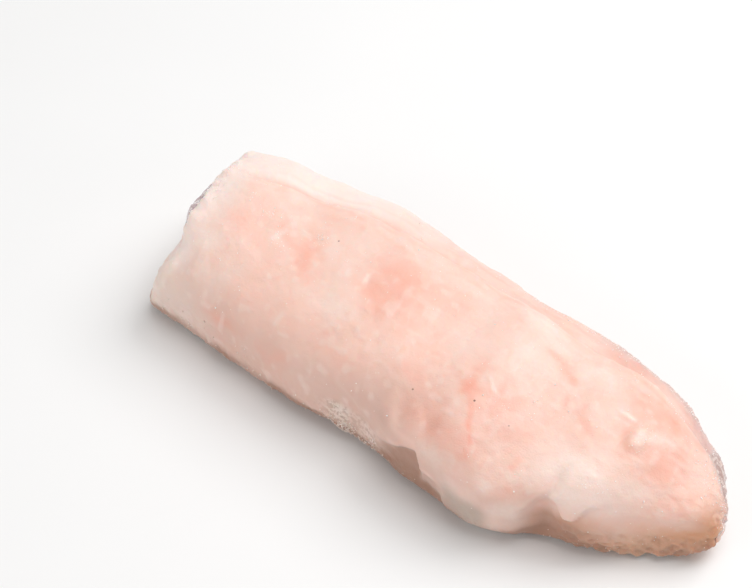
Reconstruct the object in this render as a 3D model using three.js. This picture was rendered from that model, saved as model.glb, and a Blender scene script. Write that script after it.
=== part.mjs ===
// A frozen hoki loin: the thick back muscle of the fish, skinned and boned, cut across at one end
// and left to run out in a blunt tip at the other. One solid piece of flesh, in millimetres, +Z up.
//
// The loin lies on its flat underside. +X runs from the cut end to the tip. -Y is the near side,
// whose lower edge hangs over in flakes. The skin side is on top, with the seam between the two
// muscle blocks running along it.
//
// The form is one closed surface. Every section across the loin is a lopsided rounded shape, given
// by an angle called turn: 0 degrees is the far side, 90 the top, 180 the near side, 270 the base.
// The sections change along the length, and the muscle forms stand out of them as small heights.

import * as THREE from 'three';

// ---- driving dimensions, in mm unless they say otherwise ----

const LENGTH = 188; // cut end to tip
const SIZES = [
  // distance from the cut end, reach of the near side and of the far side, height
  { x: 0, near: 28.2, far: 28, height: 34.8 },
  { x: 18, near: 30, far: 31.4, height: 36.8 },
  { x: 40, near: 33, far: 34, height: 33.7 },
  { x: 56, near: 34.8, far: 34, height: 34.6 },
  { x: 72, near: 35.7, far: 31.3, height: 35.4 },
  { x: 88, near: 36.2, far: 27.5, height: 35 },
  { x: 104, near: 40.3, far: 26.6, height: 32.6 },
  { x: 118, near: 42.2, far: 23.7, height: 34.1 },
  { x: 132, near: 42.7, far: 24, height: 30.1 },
  { x: 148, near: 35.4, far: 21.7, height: 29.7 },
  { x: 160, near: 32.3, far: 19.2, height: 28 },
  { x: 174, near: 24.5, far: 11.4, height: 22.7 },
  { x: 188, near: 18.2, far: 0.7, height: 21.7 },
];
const BELLY = 0.4; // height of the widest line, as a share of the height
const TOP_TILT = 0.1; // how much higher the far shoulder stands than the near one
const ROUND = { nearCut: 2.1, near: 2.7, far: 2.3, base: 5 }; // powers of the rounded section
const PRESSED = 0.4; // depth of the underside that lies pressed flat

const CUT = { rim: 5, y: 1, z: 14, lean: 0.25, slant: -0.09, reach: 44 }; // the cut end
const CUT_BITE = { deep: 3.7, at: 141, wide: 22, reach: 19 }; // hollow in the near side of its face
const TIP = { from: 162, power: 2.7, y: -13.5, z: 10 }; // how, and round what, the tip closes

const CUT_RIM = [
  // a corner at the top of the cut end, and a dent down its near side
  { high: 1.2, x: 0, long: 11, at: 78, wide: 11 },
  { high: -0.9, x: 0, long: 11, at: 143, wide: 22 },
];
const SEAM = { deep: 0.9, wide: 3.5, from: 4, to: 184, soft: 12 }; // groove between muscles
const SEAM_TURN = { at: 49, swing: 26, until: 114, rise: 6, wave: 1.6, length: 9 }; // where it runs
const FAR_ROLL = { high: 1.3, wide: 17, offset: 24, from: 120, to: 165 }; // muscle beyond the seam
const SEAM_LIP = { high: 0.6, wide: 6, offset: 9, x: 40, long: 45 }; // raised edge beside the seam
const SHELF = { high: 1.9, at: 181, soft: 3.5, from: 86, full: 108, to: 142 }; // flesh over the recess
const FLAP = { low: 24, from: 119, to: 123.5 }; // where that flesh hangs down lower
const BITE = { up: 17, from: 95, full: 108, to: 112.5 }; // bite out of the shelf's edge
const LOBE = { high: 1.8, at: 167, x: 152, steep: 1.6, blunt: 3, from: 154, to: 164 }; // last flake
const TOOTH = { low: 12, from: 150.8, to: 156.4, soft: 2 }; // blunt point that hangs from it
const NOTCH = { deep: 2.4, x: 147, long: 3.4, from: 160, to: 200 }; // gap between flap and lobe
const GAP = { rise: 0.18, below: 175, reach: 25 }; // how the shelf's end slants, in mm per degree
const KNOB = { high: 1.5, x: 160, long: 2.6, at: 95, wide: 5.5 }; // small raised knot of flesh
const DIMPLE = { high: -0.5, x: 156, long: 2.6, at: 97, wide: 6 }; // hollow beside the knot
const LUMP = { high: 1.5, x: 178, long: 3.2, at: 26, wide: 13 }; // lump on the far side of the tip
const FLAKES = { high: 0.26, length: 3.2, at: 152, wide: 24, from: 30, to: 135 }; // muscle flakes
const UNEVEN = [
  // soft bumps all over: height, length, whole waves round the section, phase
  { high: 0.32, length: 10.5, waves: 2, phase: 0.6 },
  { high: 0.24, length: 7.1, waves: -3, phase: 2 },
  { high: 0.18, length: 4.9, waves: 5, phase: 4 },
  { high: 0.12, length: 3.4, waves: -7, phase: 1 },
];

const ROWS = 86; // from the middle of the cut face to the tip
const COLUMNS = 56; // round a section
const CAP_SHARE = 0.1; // share of the rows on the cut face
const TIP_SHARE = 0.14; // share of the rows that close the tip
const BASE_SPACING = 0.3; // columns under the base, as a share of those over the rest

// ---- small functions ----

const degrees = (turn) => (turn * 180) / Math.PI;
const clamp = (value) => Math.min(1, Math.max(0, value));

function smooth(value, low, high) {
  const t = clamp((value - low) / (high - low));
  return t * t * (3 - 2 * t);
}

const bell = (distance, width) => Math.exp(-((distance / width) ** 2));

const between = (value, low, high, soft) =>
  smooth(value, low - soft, low + soft) * (1 - smooth(value, high - soft, high + soft));

const rounded = (part, power) => Math.sign(part) * Math.abs(part) ** (2 / power);

// A size at x, on a smooth curve through the values in SIZES.
function sizeAt(x, name) {
  const last = SIZES.length - 1;
  const slope = (k) => {
    const [a, b] = [SIZES[Math.max(0, k - 1)], SIZES[Math.min(last, k + 1)]];
    return (b[name] - a[name]) / (b.x - a.x);
  };
  let i = 0;
  while (i < last - 1 && SIZES[i + 1].x < x) i += 1;
  const [a, b] = [SIZES[i], SIZES[i + 1]];
  const step = b.x - a.x;
  const t = clamp((x - a.x) / step);
  const start = (1 + 2 * t) * (1 - t) ** 2 * a[name] + t * (1 - t) ** 2 * step * slope(i);
  const end = t * t * (3 - 2 * t) * b[name] + t * t * (t - 1) * step * slope(i + 1);
  return start + end;
}

// ---- the section, without its muscle forms ----

function sectionAt(x, turn) {
  const near = sizeAt(x, 'near');
  const far = sizeAt(x, 'far');
  const height = sizeAt(x, 'height');
  const keel = (far - near) / 2;
  const belly = BELLY * height;
  const [across, up] = [Math.cos(turn), Math.sin(turn)];
  const nearPower = ROUND.nearCut + (ROUND.near - ROUND.nearCut) * smooth(x, 4, 49);
  const power = up < 0 ? ROUND.base : across < 0 ? nearPower : ROUND.far;
  const side = rounded(across, power);
  const rise = up < 0 ? belly : (height - belly) * (1 + TOP_TILT * side);
  return { keel, belly, y: keel + ((far + near) / 2) * side, z: belly + rise * rounded(up, power) };
}

// ---- the muscle forms, as a height out of the section ----

const seamTurn = (x) =>
  SEAM_TURN.at +
  SEAM_TURN.swing * (1 - smooth(x, -6, SEAM_TURN.until)) +
  SEAM_TURN.rise * smooth(x, 144, 172) +
  SEAM_TURN.wave * Math.sin(x / SEAM_TURN.length);

function seamForms(x, deg) {
  const seam = seamTurn(x);
  const along = smooth(x, SEAM.from, SEAM.from + SEAM.soft) * (1 - smooth(x, SEAM.to - 16, SEAM.to));
  const groove = SEAM.deep * bell(deg - seam, SEAM.wide) * along;
  const roll = FAR_ROLL.high * bell(deg - (seam - FAR_ROLL.offset), FAR_ROLL.wide);
  const lip = SEAM_LIP.high * bell(deg - (seam + SEAM_LIP.offset), SEAM_LIP.wide);
  const rollAlong = (1 - smooth(x, FAR_ROLL.from, FAR_ROLL.to)) * smooth(x, 2, 12);
  return roll * rollAlong + lip * along * bell(x - SEAM_LIP.x, SEAM_LIP.long) - groove;
}

// Turn at which the upper flesh ends over the recess. It drops near the base where the flap hangs.
function shelfEdge(x) {
  const bite = smooth(x, BITE.from, BITE.full) * (1 - smooth(x, BITE.to - 3.5, BITE.to));
  const drop = FLAP.low * smooth(x, FLAP.from, FLAP.to);
  return SHELF.at + drop - BITE.up * bite + 1.2 * Math.sin(x / 2.7);
}

// Turn at which the last lobe ends: a wide tent with a tooth.
function lobeEdge(x) {
  const tooth = TOOTH.low * between(x, TOOTH.from, TOOTH.to, TOOTH.soft);
  return LOBE.at - LOBE.steep * Math.hypot(x - LOBE.x, LOBE.blunt) + tooth;
}

// Distance at which the shelf ends and the lobe starts.
const gapAt = (deg) => SHELF.to + GAP.rise * Math.min(GAP.reach, Math.max(0, GAP.below - deg));

// The ragged near edge: the shelf and its flap, the last lobe, and the notch between the two.
function edgeForms(x, deg) {
  const [edge, end, gap] = [shelfEdge(x), lobeEdge(x), gapAt(deg)];
  const shelf = (1 - smooth(deg, edge - SHELF.soft, edge + SHELF.soft)) * smooth(deg, 120, 165);
  const lobe = (1 - smooth(deg, end - 5, end + 3)) * smooth(deg, 104, 142);
  const lobeAlong = smooth(x, gap, gap + 4) * (1 - smooth(x, LOBE.from, LOBE.to));
  const notch = bell(x - NOTCH.x, NOTCH.long) * between(deg, NOTCH.from, NOTCH.to, 10);
  const shelfAlong = smooth(x, SHELF.from, SHELF.full) * (1 - smooth(x, gap - 1.5, gap + 1.5));
  return SHELF.high * shelf * shelfAlong + LOBE.high * lobe * lobeAlong - NOTCH.deep * notch;
}

const spot = (form, x, deg) =>
  form.high * bell(x - form.x, form.long) * bell(deg - form.at, form.wide);

// The muscle flakes bend back and forth across the near side as they go round it.
function flakeWaves(x, deg) {
  const fold = Math.abs((((deg - FLAKES.at + 2) / 28 + 20) % 2) - 1);
  const wave = Math.sin((x + 9 * fold) / FLAKES.length);
  const along = between(x, FLAKES.from, FLAKES.to, 10);
  return FLAKES.high * wave * bell(deg - FLAKES.at, FLAKES.wide) * along;
}

function unevenness(x, turn) {
  const waves = UNEVEN.map((w) => w.high * Math.sin(x / w.length + w.waves * turn + w.phase));
  return waves.reduce((sum, wave) => sum + wave, 0);
}

function formHeight(x, turn) {
  const deg = degrees(turn);
  const aboveBase = clamp((Math.sin(turn) + 0.42) / 0.42);
  const spots = [...CUT_RIM, KNOB, DIMPLE, LUMP].map((form) => spot(form, x, deg));
  const knots = spots.reduce((sum, height) => sum + height, 0);
  const muscle = seamForms(x, deg) + edgeForms(x, deg) + flakeWaves(x, deg);
  return aboveBase * (muscle + knots + unevenness(x, turn));
}

// ---- rows along the loin and columns round it ----

// How far along a row lies, and how large its section is: the first rows spread over the cut face
// and its rounded rim, and the last close the tip.
function rowAt(share) {
  if (share < CAP_SHARE) {
    const angle = ((share / CAP_SHARE) * Math.PI) / 2;
    return { x: CUT.rim * (1 - Math.cos(angle) ** 0.8), scale: Math.sin(angle) ** 0.6 };
  }
  if (share > 1 - TIP_SHARE) {
    const angle = ((share - 1 + TIP_SHARE) / TIP_SHARE) * (Math.PI / 2);
    const run = (LENGTH - TIP.from) * rounded(Math.sin(angle), TIP.power);
    return { x: TIP.from + run, scale: Math.abs(Math.cos(angle)) ** (2 / TIP.power) };
  }
  const along = (share - CAP_SHARE) / (1 - CAP_SHARE - TIP_SHARE);
  return { x: CUT.rim + (TIP.from - CUT.rim) * along, scale: 1 };
}

// Turns that lie evenly along the outline of the middle section, and wider apart under the base.
function columnTurns() {
  const steps = 1440;
  const turns = [0];
  const lengths = [0];
  let before = sectionAt(LENGTH / 2, 0);
  for (let k = 1; k <= steps; k += 1) {
    const turn = (k / steps) * 2 * Math.PI;
    const here = sectionAt(LENGTH / 2, turn);
    const under = here.z < 2 * PRESSED ? BASE_SPACING : 1;
    turns.push(turn);
    lengths.push(lengths[k - 1] + under * Math.hypot(here.y - before.y, here.z - before.z));
    before = here;
  }
  return Array.from({ length: COLUMNS }, (_, column) => {
    const goal = (column / COLUMNS) * lengths[steps];
    const k = lengths.findIndex((length) => length > goal);
    const part = (goal - lengths[k - 1]) / (lengths[k] - lengths[k - 1]);
    return turns[k - 1] + part * (turns[k] - turns[k - 1]);
  });
}

function pointAt(row, turn) {
  const { keel, belly, y, z } = sectionAt(row.x, turn);
  const grow = 1 + formHeight(row.x, turn) / Math.hypot(y - keel, z - belly);
  const end = row.x < LENGTH / 2 ? CUT : TIP;
  const outY = end.y + (keel + (y - keel) * grow - end.y) * row.scale;
  const outZ = end.z + (belly + (z - belly) * grow - end.z) * row.scale;
  const nearCut = 1 - smooth(row.x, -1, CUT.reach);
  const lean = nearCut * (CUT.slant * outY + CUT.lean * (outZ - TIP.z));
  const bite = CUT_BITE.deep * bell(degrees(turn) - CUT_BITE.at, CUT_BITE.wide) * row.scale;
  const outX = row.x + lean + bite * (1 - smooth(row.x, CUT.rim, CUT_BITE.reach));
  return new THREE.Vector3(outX, outY, Math.max(0, outZ - PRESSED));
}

// ---- the closed surface ----

function loinGeometry() {
  const turns = columnTurns();
  const rows = Array.from({ length: ROWS + 1 }, (_, k) => rowAt(k / ROWS));
  const points = [pointAt(rows[0], 0)];
  rows.slice(1, ROWS).forEach((row) => turns.forEach((turn) => points.push(pointAt(row, turn))));
  points.push(pointAt(rows[ROWS], 0));

  const last = points.length - 1;
  const vertex = (row, column) => 1 + (row - 1) * COLUMNS + (column % COLUMNS);
  const triangles = [];
  for (let column = 0; column < COLUMNS; column += 1) {
    triangles.push(0, vertex(1, column + 1), vertex(1, column));
    triangles.push(last, vertex(ROWS - 1, column), vertex(ROWS - 1, column + 1));
    for (let row = 1; row < ROWS - 1; row += 1) {
      const [a, b] = [vertex(row, column), vertex(row, column + 1)];
      const [c, d] = [vertex(row + 1, column), vertex(row + 1, column + 1)];
      triangles.push(a, b, d, a, d, c);
    }
  }

  const geometry = new THREE.BufferGeometry().setFromPoints(points);
  geometry.setIndex(triangles);
  const box = new THREE.Box3().setFromPoints(points);
  const middle = box.getCenter(new THREE.Vector3());
  geometry.translate(-middle.x, -middle.y, -box.min.z);
  geometry.computeVertexNormals();
  return geometry;
}

const flesh = new THREE.MeshStandardMaterial({ color: 0xf2d2c5, roughness: 0.42, metalness: 0 });

const loin = new THREE.Mesh(loinGeometry(), flesh);
loin.name = 'loin';

const part = new THREE.Group();
part.name = 'hoki_loin';
part.add(loin);

export default part;
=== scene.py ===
# %% [markdown]
# # A frozen hoki loin
#
# A loin is the thick back muscle of a fish, skinned and boned. This one is frozen: cut straight
# across at one end, running out in a blunt tip at the other, pale and a little see-through, with
# salmon-pink blotches and a dusting of frost. It is all one piece, so nearly everything that the
# eye reads is either a small height of its surface or a change of colour in it.
#
# The lesson starts from the plain solid of the same loin. That solid fixes the place and the size,
# and every piece made here lies on it.

# %% Load the plain solid
from types import SimpleNamespace as Group

import bpy
import numpy as np
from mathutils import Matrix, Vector


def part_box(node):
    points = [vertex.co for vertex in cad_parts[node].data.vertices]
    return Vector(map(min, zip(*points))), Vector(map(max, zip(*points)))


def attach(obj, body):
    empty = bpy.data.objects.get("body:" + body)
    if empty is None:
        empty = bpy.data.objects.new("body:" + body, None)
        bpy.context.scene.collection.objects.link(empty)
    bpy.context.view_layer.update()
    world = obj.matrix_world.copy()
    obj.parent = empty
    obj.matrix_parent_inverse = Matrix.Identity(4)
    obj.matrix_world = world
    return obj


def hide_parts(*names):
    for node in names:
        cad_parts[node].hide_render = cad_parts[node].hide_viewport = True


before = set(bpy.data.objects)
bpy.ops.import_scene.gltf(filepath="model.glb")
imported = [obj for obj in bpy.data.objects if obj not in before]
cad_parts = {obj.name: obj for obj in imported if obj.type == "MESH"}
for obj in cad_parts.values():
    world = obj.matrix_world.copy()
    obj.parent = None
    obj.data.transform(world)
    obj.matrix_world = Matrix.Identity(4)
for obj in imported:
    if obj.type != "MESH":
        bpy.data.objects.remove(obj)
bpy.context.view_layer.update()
MM = 0.001
solid_low, solid_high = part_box("loin")
print("plain solid, mm:", [round(side / MM, 1) for side in solid_high - solid_low])

# %% [markdown]
# ## The form of the flesh
#
# The loin could be sculpted by hand, or grown from a box with subdivision, but then nothing could
# be said about it in numbers. Here it is a surface with two parameters. One runs along the loin,
# from the middle of the cut face over its rim and on to the tip. The other is an angle round the
# section, called the turn: 0 degrees is the far side, 90 the top, 180 the near side, 270 the base.
# Every section is a lopsided rounded shape whose sizes change along the length.

# %% Sizes of the form, in mm from the cut end
# A Group holds values that belong together, and GROUP.name reads one of them.
LENGTH = 188.0
SIZES = np.array([
    # distance, reach of the near side, reach of the far side, height
    (0, 28.2, 28, 34.8),
    (18, 30, 31.4, 36.8),
    (40, 33, 34, 33.7),
    (56, 34.8, 34, 34.6),
    (72, 35.7, 31.3, 35.4),
    (88, 36.2, 27.5, 35),
    (104, 40.3, 26.6, 32.6),
    (118, 42.2, 23.7, 34.1),
    (132, 42.7, 24, 30.1),
    (148, 35.4, 21.7, 29.7),
    (160, 32.3, 19.2, 28),
    (174, 24.5, 11.4, 22.7),
    (188, 18.2, 0.7, 21.7),
])
BELLY = 0.4            # height of the widest line, as a share of the height
TOP_TILT = 0.1         # how much higher the far shoulder stands than the near one
PRESSED = 0.4          # depth of the underside that lies pressed flat
ROUND = Group(near_cut=2.1, near=2.7, far=2.3, base=5.0)  # powers of the section: 2 is round, 5 squarish
ROUND_START, ROUND_END = 4, 49  # from here to there the near side's power goes from near_cut to near
CUT = Group(rim=5.0, y=1.0, z=14.0, lean=0.25, slant=-0.09, reach=44.0)  # the cut end and its middle
CUT_BITE = Group(deep=3.7, turn=141, wide=22, reach=14)  # hollow in the near side of the cut face
TIP = Group(start=162.0, power=2.7, y=-13.5, z=10.0)     # where, how and round what the tip closes
ROWS, COLUMNS = 358, 276
BASE_SPACING = 0.3     # columns under the base, as a share of those over the rest


# %% Small functions that every form uses
def smooth(value, low, high):
    """0 below low, 1 above high, and an S-shaped rise between them: 3t squared less 2t cubed."""
    t = np.clip((value - low) / (high - low), 0, 1)
    return t * t * (3 - 2 * t)


def bell(distance, width):
    """A round hill: e to the power of minus the square of distance over width."""
    return np.exp(-((distance / width) ** 2))


def between(value, low, high, soft):
    """1 from low to high, fading to 0 over soft on each side."""
    return smooth(value, low - soft, low + soft) * (1 - smooth(value, high - soft, high + soft))


def rounded(part, power):
    """A sine or cosine raised to 2 over power, with its sign kept: powers over 2 square it off."""
    return np.sign(part) * np.abs(part) ** (2 / power)


def size_at(x, column):
    """A column of SIZES at x, on cubic pieces that leave each value with its neighbours' slope."""
    at, value = SIZES[:, 0], SIZES[:, column]
    ends = np.concatenate([[0], np.arange(len(at)), [len(at) - 1]])
    slope = (value[ends[2:]] - value[ends[:-2]]) / (at[ends[2:]] - at[ends[:-2]])
    row = np.clip(np.searchsorted(at, x) - 1, 0, len(at) - 2)
    step = at[row + 1] - at[row]
    t = np.clip((x - at[row]) / step, 0, 1)
    start = (1 + 2 * t) * (1 - t) ** 2 * value[row] + t * (1 - t) ** 2 * step * slope[row]
    return start + t * t * (3 - 2 * t) * value[row + 1] + t * t * (t - 1) * step * slope[row + 1]


# %% The section across the loin
def section_at(x, turn):
    """A superellipse in four quarters round the belly line: across is the keel plus half the width
    times a rounded cosine, up is the belly plus the rise times a rounded sine."""
    near, far, height = (size_at(x, column) for column in (1, 2, 3))
    keel, belly = (far - near) / 2, BELLY * height
    across, up = np.cos(turn), np.sin(turn)
    near_power = ROUND.near_cut + (ROUND.near - ROUND.near_cut) * smooth(x, ROUND_START, ROUND_END)
    power = np.where(up < 0, ROUND.base, np.where(across < 0, near_power, ROUND.far))
    side = rounded(across, power)
    rise = np.where(up < 0, belly, (height - belly) * (1 + TOP_TILT * side))
    return keel, belly, keel + (far + near) / 2 * side, belly + rise * rounded(up, power)


# %% [markdown]
# ## Muscle forms
#
# A fish muscle isn't smooth. A seam runs along the loin where two blocks of muscle meet, the far
# block stands up beside it as a roll, and the near edge breaks up into flakes that hang over the
# lower wall. Each of these is a hill, a groove or a step in the height of the surface, placed by
# its distance from the cut end and its turn. Adding heights keeps the mesh a plain grid, which
# carving the forms out with booleans would not.

# %% The seam and the two muscle blocks
# Turns, offsets from the seam and widths across are in degrees, the rest in mm.
SEAM_TURN = Group(at=49, swing=26, swing_end=114, rise=6, rise_start=144, rise_end=172, wave=1.6, length=9)
SEAM = Group(deep=0.9, wide=3.5, start=4, full=16, last=168, end=184)
ROLL = Group(high=1.3, wide=17, offset=24, start=2, full=12, last=120, end=165)
SEAM_LIP = Group(high=0.6, wide=6, offset=9, at=40, long=45)


def seam_turn(x):
    """The seam swings from the top at the cut end down towards the far side, with a slow wave, and
    turns back up a little at the tip."""
    swing = SEAM_TURN.swing * (1 - smooth(x, -6, SEAM_TURN.swing_end))
    rise = SEAM_TURN.rise * smooth(x, SEAM_TURN.rise_start, SEAM_TURN.rise_end)
    return SEAM_TURN.at + swing + rise + SEAM_TURN.wave * np.sin(x / SEAM_TURN.length)


def seam_forms(x, deg):
    """A groove along the seam, a wide roll beyond it and a low lip on its near side."""
    seam = seam_turn(x)
    along = smooth(x, SEAM.start, SEAM.full) * (1 - smooth(x, SEAM.last, SEAM.end))
    groove = SEAM.deep * bell(deg - seam, SEAM.wide) * along
    roll = ROLL.high * bell(deg - (seam - ROLL.offset), ROLL.wide)
    roll = roll * (1 - smooth(x, ROLL.last, ROLL.end)) * smooth(x, ROLL.start, ROLL.full)
    lip = SEAM_LIP.high * bell(deg - (seam + SEAM_LIP.offset), SEAM_LIP.wide) * along
    return roll + lip * bell(x - SEAM_LIP.at, SEAM_LIP.long) - groove


# %% The ragged near edge
# Edges, up, low, top and foot are turns or degrees, the rest is in mm.
SHELF = Group(high=1.9, edge=181, soft=3.5, start=86, full=108, ripple=1.2, length=2.7)
BITE = Group(up=17, start=95, deepest=108, last=109, end=112.5)
FLAP = Group(low=24, start=119, full=123.5)
LOBE = Group(high=1.8, edge=167, at=152, steep=1.6, blunt=3, last=154, end=164)
TOOTH = Group(low=12, start=150.8, end=156.4, soft=2)
NOTCH = Group(deep=2.4, at=147, long=3.4, top=160, foot=200, soft=10)
GAP = Group(at=142, slant=0.18, below=175, reach=25)


def shelf_edge(x):
    """Turn at which the upper flesh ends over the recess: 181 degrees, 17 degrees higher in the
    bite that is deepest at 108 mm, and 24 degrees lower where the flap hangs down to the base."""
    bite = smooth(x, BITE.start, BITE.deepest) * (1 - smooth(x, BITE.last, BITE.end))
    flap = FLAP.low * smooth(x, FLAP.start, FLAP.full)
    return SHELF.edge - BITE.up * bite + flap + SHELF.ripple * np.sin(x / SHELF.length)


def lobe_edge(x):
    """Turn at which the last lobe ends: a wide tent, with a blunt tooth from 151 to 156 mm."""
    tent = LOBE.steep * np.hypot(x - LOBE.at, LOBE.blunt)
    return LOBE.edge - tent + TOOTH.low * between(x, TOOTH.start, TOOTH.end, TOOTH.soft)


def gap_at(deg):
    """Distance at which the shelf ends and the lobe starts: 142 mm low down, more further up."""
    return GAP.at + GAP.slant * np.clip(GAP.below - deg, 0, GAP.reach)


def edge_forms(x, deg):
    """A step down past the shelf's edge, the last lobe's step, and the notch between the two."""
    edge, end, gap = shelf_edge(x), lobe_edge(x), gap_at(deg)
    shelf = SHELF.high * (1 - smooth(deg, edge - SHELF.soft, edge + SHELF.soft)) * smooth(deg, 120, 165)
    shelf = shelf * smooth(x, SHELF.start, SHELF.full) * (1 - smooth(x, gap - 1.5, gap + 1.5))
    lobe = LOBE.high * (1 - smooth(deg, end - 5, end + 3)) * smooth(deg, 104, 142)
    lobe *= smooth(x, gap, gap + 4) * (1 - smooth(x, LOBE.last, LOBE.end))
    notch = NOTCH.deep * bell(x - NOTCH.at, NOTCH.long) * between(deg, NOTCH.top, NOTCH.foot, NOTCH.soft)
    return shelf + lobe - notch


# %% Single hills and hollows
SPOTS = [
    # height, distance from the cut end, half length, turn, half width in degrees
    (1.2, 0, 11, 78, 11),      # corner at the top of the cut end
    (-0.9, 0, 11, 143, 22),    # dent down its near side
    (1.5, 160, 2.6, 95, 5.5),  # knot of flesh
    (-0.5, 156, 2.6, 97, 6),   # hollow beside it
    (1.5, 178, 3.2, 26, 13),   # lump on the far side of the tip
]


def spot_forms(x, deg):
    """The sum of single bells, each with its own height, length and width."""
    return sum(high * bell(x - at, long) * bell(deg - turn, wide) for high, at, long, turn, wide in SPOTS)


# %% Flakes and unevenness
FLAKES = Group(high=0.26, length=3.2, turn=152, wide=24, start=30, end=135)
ZIGZAG = Group(reach=9, turn=150, half=28)  # how far along, and over how many degrees, a flake folds
UNEVEN = [
    # height, length of a wave over two pi, turns round the section, start
    (0.32, 10.5, 2, 0.6),
    (0.24, 7.1, -3, 2.0),
    (0.18, 4.9, 5, 4.0),
    (0.12, 3.4, -7, 1.0),
]
BASE_FADE = 0.42       # how far below the widest line the forms are gone, as the turn's sine


def flake_waves(x, deg):
    """Sine waves along the loin whose start zigzags with the turn, as the muscle flakes do."""
    fold = np.abs(((deg - ZIGZAG.turn) / ZIGZAG.half + 20) % 2 - 1)
    wave = FLAKES.high * np.sin((x + ZIGZAG.reach * fold) / FLAKES.length)
    return wave * bell(deg - FLAKES.turn, FLAKES.wide) * between(x, FLAKES.start, FLAKES.end, 10)


def unevenness(x, turn):
    """Crossing sine waves, each with a whole number of turns round the section."""
    return sum(high * np.sin(x / length + count * turn + phase) for high, length, count, phase in UNEVEN)


def form_height(x, turn):
    """All the muscle forms together, fading out under the base."""
    deg = np.degrees(turn)
    above_base = np.clip((np.sin(turn) + BASE_FADE) / BASE_FADE, 0, 1)
    forms = seam_forms(x, deg) + edge_forms(x, deg) + spot_forms(x, deg)
    return above_base * (forms + flake_waves(x, deg) + unevenness(x, turn))


# %% Rows along the loin and columns round it
def evenly(length, count, closed):
    """Places, as fractions of an index, that cut a running length into even steps."""
    goal = np.linspace(0, length[-1], count + 1)[:count] if closed else np.linspace(0, length[-1], count)
    return np.interp(goal, length, np.arange(len(length)))


def run_length(*sides):
    """Running length of a broken line, from its steps' Pythagoras."""
    return np.concatenate([[0], np.cumsum(np.sqrt(sum(np.diff(side) ** 2 for side in sides)))])


CAP_ALONG, CAP_ACROSS = 0.8, 0.6  # powers that shape the cut face's rim, along the loin and across


def row_profile(samples=4000, half_width=28.0):
    """Distance along and size of the section for every row. The cut face's rim and the tip are
    quarter superellipses, and the rows lie evenly along the outline that they make from above."""
    angle = np.linspace(0, np.pi / 2, samples)
    cap_x = CUT.rim * (1 - np.cos(angle) ** CAP_ALONG)
    cap_scale = np.sin(angle) ** CAP_ACROSS
    tip_x = TIP.start + (LENGTH - TIP.start) * rounded(np.sin(angle), TIP.power)
    tip_scale = np.abs(np.cos(angle)) ** (2 / TIP.power)
    tip_scale[-1] = 0
    x = np.concatenate([cap_x, tip_x])
    scale = np.concatenate([cap_scale, tip_scale])
    length = run_length(x, half_width * scale)
    place = evenly(length, ROWS + 1, closed=False)
    index = np.arange(len(x))
    return np.interp(place, index, x), np.interp(place, index, scale)


def column_turns(samples=1440):
    """Turns that lie evenly along the outline of the middle section, wider apart under the base."""
    turn = np.linspace(0, 2 * np.pi, samples + 1)
    _, _, y, z = section_at(np.full(samples + 1, LENGTH / 2), turn)
    step = np.hypot(np.diff(y), np.diff(z)) * np.where(z[1:] < 2 * PRESSED, BASE_SPACING, 1)
    length = np.concatenate([[0], np.cumsum(step)])
    return np.interp(evenly(length, COLUMNS, closed=True), np.arange(samples + 1), turn)


# %% Every point of the plain form
row_x, row_scale = row_profile()
turns = column_turns()
X, TURN = np.meshgrid(row_x, turns, indexing="ij")
DEG = np.degrees(TURN)
SCALE = row_scale[:, None]


def loin_points(x, turn, scale):
    """The section grown by its forms, shrunk by scale towards the middle of the cut face or of the
    tip, leant back near the cut, and cut off flat at the base."""
    keel, belly, y, z = section_at(x, turn)
    grow = 1 + form_height(x, turn) / np.hypot(y - keel, z - belly)
    at_cut = x < LENGTH / 2
    middle_y = np.where(at_cut, CUT.y, TIP.y)
    middle_z = np.where(at_cut, CUT.z, TIP.z)
    out_y = middle_y + (keel + (y - keel) * grow - middle_y) * scale
    out_z = middle_z + (belly + (z - belly) * grow - middle_z) * scale
    near_cut = 1 - smooth(x, -1, CUT.reach)
    out_x = x + near_cut * (CUT.slant * out_y + CUT.lean * (out_z - TIP.z))
    bite = CUT_BITE.deep * bell(np.degrees(turn) - CUT_BITE.turn, CUT_BITE.wide) * scale
    out_x = out_x + bite * (1 - smooth(x, CUT.rim, CUT.rim + CUT_BITE.reach))
    return np.stack([out_x, out_y, np.maximum(0, out_z - PRESSED)], axis=-1)


plain = loin_points(X, TURN, SCALE)
form_low, form_high = plain.min(axis=(0, 1)), plain.max(axis=(0, 1))
CENTRE = np.array([(form_low[0] + form_high[0]) / 2, (form_low[1] + form_high[1]) / 2, 0])
plain = plain - CENTRE
print("form, mm:", (form_high - form_low).round(1), "centre", CENTRE.round(2))


# %% [markdown]
# ## Fine relief
#
# Up close the flesh has creases beside the seam, thin flakes, a grain along the muscle and a crust
# of frost at the lower edge. These are too fine for the plain solid. They are heights along the
# surface's own normals, most of them from one smooth random function. It is given a size in mm and a
# seed, and each seed makes a pattern of its own.

# %% A smooth random function
VALUES = 8191          # random values that the corners share
CORNER_STEPS = np.array([73856093, 19349663, 83492791])  # large primes, so that the sharing has no order


def lattice_noise(points, size, seed, stretch=(1, 1, 1)):
    """Random values from -1 to 1 on the corners of cubes of that size, blended inside each cube
    with an S-shaped weight for each axis."""
    cell = points / (size * np.array(stretch))
    corner = np.floor(cell).astype(np.int64)
    part = cell - corner
    part = part * part * (3 - 2 * part)
    values = np.random.default_rng(seed).uniform(-1, 1, VALUES)
    total = np.zeros(points.shape[:-1])
    for offset in np.ndindex(2, 2, 2):
        key = (corner + offset) @ CORNER_STEPS
        weight = np.where(offset, part, 1 - part).prod(axis=-1)
        total += values[key % VALUES] * weight
    return total


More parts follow.
